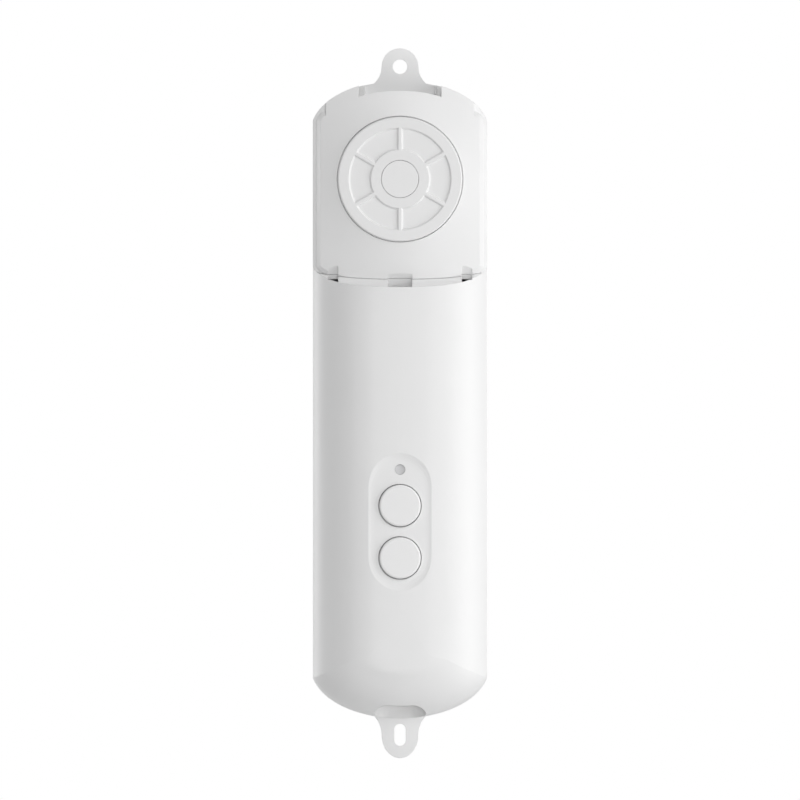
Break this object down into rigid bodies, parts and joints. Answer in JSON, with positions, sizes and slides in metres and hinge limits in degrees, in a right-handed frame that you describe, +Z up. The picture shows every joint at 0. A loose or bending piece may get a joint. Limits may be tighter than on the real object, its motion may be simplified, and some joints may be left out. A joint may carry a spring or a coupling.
{
  "type": "roller blind chain motor",
  "caption": "Wall-hung motor that pulls the bead chain of a roller blind, with a chain wheel behind a lift-off cover, push buttons and fixing ears.",
  "frame": {"origin": "on the flat back face, midway along the body without its ears, in its plane of symmetry", "axes": "+X to the right seen from the front, +Y into the wall, +Z up towards the chain wheel"},
  "size_m": [0.044, 0.0364, 0.1798],
  "materials": {
    "white_shell": "satin moulded",
    "white_cover": "satin moulded",
    "wheel_plastic": "satin moulded",
    "button_plastic": "satin moulded",
    "inner_plastic": "matt moulded",
    "gear_plastic": "matt moulded",
    "lens": "translucent grey",
    "steel": "plain",
    "zinc_screw": "zinc plated",
    "bronze": "sintered",
    "motor_steel": "drawn",
    "motor_end": "matt moulded",
    "contact_brass": "stamped",
    "nickel": "rolled strip",
    "cell_wrap": "shrink wrap",
    "board": "solder mask",
    "radio_can": "tin plated",
    "switch_black": "matt moulded",
    "magnet": "sintered",
    "socket_steel": "plated",
    "lead_skin": "insulated",
    "lamp_white": "moulded"
  },
  "bodies": {
    "case": {"back_shell": "white_shell", "front_shell": "white_shell", "wheel_deck": "inner_plastic", "front_bush": "bronze", "rear_bush": "bronze", "gearbox": "motor_steel", "hall_board": "board", "motor_can": "motor_steel", "motor_cap": "motor_end", "motor_terminals": "contact_brass", "motor_strap": "steel", "strap_screws": "zinc_screw", "cell_left": "cell_wrap", "cell_right": "cell_wrap", "cell_links": "nickel", "cell_retainer": "inner_plastic", "retainer_screws": "zinc_screw", "main_board": "board", "board_screws": "zinc_screw", "charge_socket": "socket_steel", "radio_module": "radio_can", "switch_up": "switch_black", "switch_down": "switch_black", "status_lamp": "lamp_white", "light_pipe": "lens", "case_screws": "zinc_screw", "deck_screws": "zinc_screw", "motor_plug": "lamp_white", "motor_leads": "lead_skin", "battery_leads": "lead_skin"},
    "cover": {"chain_cover": "white_cover"},
    "wheel": {"chain_wheel": "wheel_plastic", "wheel_cap": "wheel_plastic", "wheel_screw": "zinc_screw", "drive_shaft": "steel", "bevel_gear": "gear_plastic", "shaft_clip": "steel"},
    "pinion": {"bevel_pinion": "gear_plastic", "output_shaft": "steel", "magnet_ring": "magnet"},
    "upper_button": {"button_up": "button_plastic", "switch_plunger_up": "switch_black"},
    "lower_button": {"button_down": "button_plastic", "switch_plunger_down": "switch_black"}
  },
  "joints": [
    {"name": "wheel_spin", "type": "hinge", "parent": "case", "child": "wheel", "pos_m": [0, -0.014, 0.0556], "axis": [0, 1, 0], "continuous": true},
    {"name": "pinion_spin", "type": "hinge", "parent": "case", "child": "pinion", "pos_m": [0, -0.014, 0.045], "axis": [0, 0, 1], "continuous": true},
    {"name": "cover_lift", "type": "slide", "parent": "case", "child": "cover", "axis": [0, -1, 0], "range_m": [0, 0.024]},
    {"name": "upper_press", "type": "slide", "parent": "case", "child": "upper_button", "axis": [0, 1, 0], "range_m": [0, 0.0005], "stiffness_N_per_m": 2400},
    {"name": "lower_press", "type": "slide", "parent": "case", "child": "lower_button", "axis": [0, 1, 0], "range_m": [0, 0.0005], "stiffness_N_per_m": 2400}
  ],
  "couplings": [
    {"joint": "pinion_spin", "follows": "wheel_spin", "ratio": 2}
  ]
}
